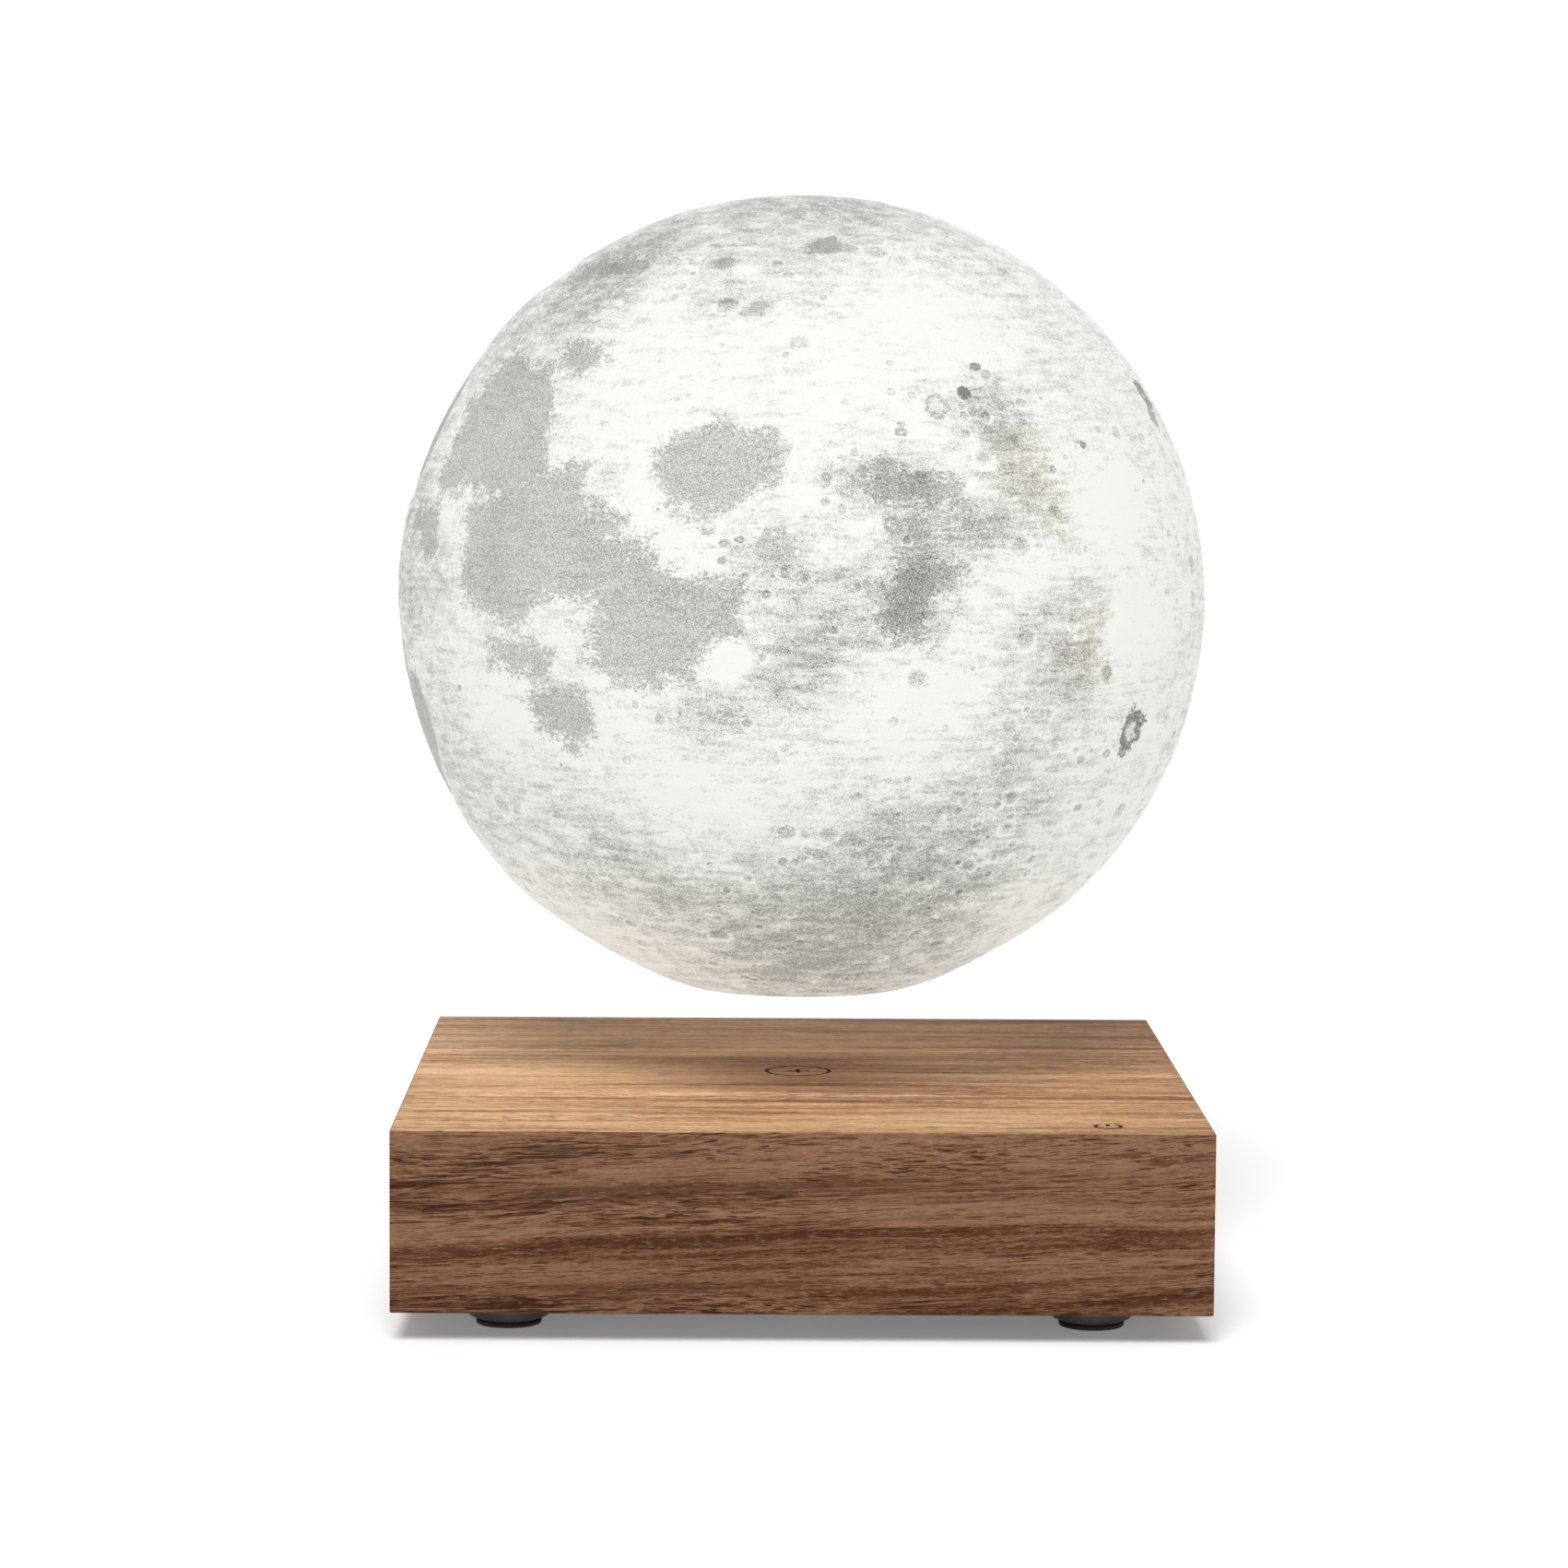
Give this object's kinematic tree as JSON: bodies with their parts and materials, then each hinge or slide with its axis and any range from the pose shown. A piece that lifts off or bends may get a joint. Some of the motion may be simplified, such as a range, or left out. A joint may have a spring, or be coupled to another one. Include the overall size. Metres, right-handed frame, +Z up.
{
  "type": "levitating lamp",
  "caption": "Table lamp whose printed moon floats on magnets above a square walnut box with a touch mark and a rear power socket.",
  "frame": {"origin": "centre of the lamp on the surface it stands on", "axes": "+Z up along the moon's axis, -Y towards the front with the touch mark at its right, +X to the right seen from the front"},
  "size_m": [0.1776, 0.1776, 0.2385],
  "materials": {
    "walnut": "satin oiled walnut with long grain",
    "black_plastic": "fine matte moulded texture",
    "foot_plastic": "dark brown satin moulding",
    "foot_rubber": "matte rubber",
    "screw_steel": "zinc plated",
    "ferrite": "ground dark ferrite",
    "circuit_green": "green circuit board",
    "core_steel": "turned steel",
    "cream_nylon": "natural nylon",
    "copper_wire": "enamelled copper",
    "bright_nickel": "nickel plated",
    "black_jacket": "soft lead jacket",
    "red_jacket": "soft lead jacket",
    "grey_jacket": "soft lead jacket",
    "moon_print": "layered matte print of the moon in white and grey",
    "white_plastic": "matte white moulding",
    "bare_aluminium": "milled",
    "frosted_plastic": "frosted diffuser"
  },
  "bodies": {
    "base": {"top_panel": "walnut", "front_board": "walnut", "rear_board": "walnut", "left_board": "walnut", "right_board": "walnut", "corner_block_1": "walnut", "corner_block_2": "walnut", "corner_block_3": "walnut", "corner_block_4": "walnut", "bottom_cover": "black_plastic", "foot_cup_1": "foot_plastic", "foot_cup_2": "foot_plastic", "foot_cup_3": "foot_plastic", "foot_cup_4": "foot_plastic", "foot_pad_1": "foot_rubber", "foot_pad_2": "foot_rubber", "foot_pad_3": "foot_rubber", "foot_pad_4": "foot_rubber", "foot_screw_1": "screw_steel", "foot_screw_2": "screw_steel", "foot_screw_3": "screw_steel", "foot_screw_4": "screw_steel", "module_housing": "black_plastic", "ring_magnet": "ferrite", "coil_board": "circuit_green", "coil_core_1": "core_steel", "coil_core_2": "core_steel", "coil_core_3": "core_steel", "coil_core_4": "core_steel", "coil_bobbin_1": "cream_nylon", "coil_bobbin_2": "cream_nylon", "coil_bobbin_3": "cream_nylon", "coil_bobbin_4": "cream_nylon", "coil_winding_1": "copper_wire", "coil_winding_2": "copper_wire", "coil_winding_3": "copper_wire", "coil_winding_4": "copper_wire", "hall_sensor_board": "circuit_green", "coil_carrier": "black_plastic", "transmitter_coil": "copper_wire", "module_screw_1": "screw_steel", "module_screw_2": "screw_steel", "module_screw_3": "screw_steel", "driver_board": "circuit_green", "touch_pad": "copper_wire", "dc_socket": "black_plastic", "dc_socket_pin": "bright_nickel", "dc_socket_nut": "bright_nickel", "dc_lead": "black_jacket", "touch_lead": "red_jacket", "module_lead": "grey_jacket"},
    "magnet": {"float_magnet": "bright_nickel"},
    "moon": {"moon_shell": "moon_print", "shell_collar": "white_plastic", "bottom_cap": "white_plastic", "receiver_coil": "copper_wire", "heat_sink": "bare_aluminium", "led_board": "circuit_green", "light_dome": "frosted_plastic"}
  },
  "joints": [
    {"name": "moon_float", "type": "slide", "parent": "base", "child": "magnet", "axis": [0, 0, 1], "range_m": [-0.0197, 0.01], "stiffness_N_per_m": 400, "springref_m": 0.00833},
    {"name": "moon_spin", "type": "hinge", "parent": "magnet", "child": "moon", "pos_m": [0, 0, 0.0713], "axis": [0, 0, 1], "continuous": true}
  ]
}
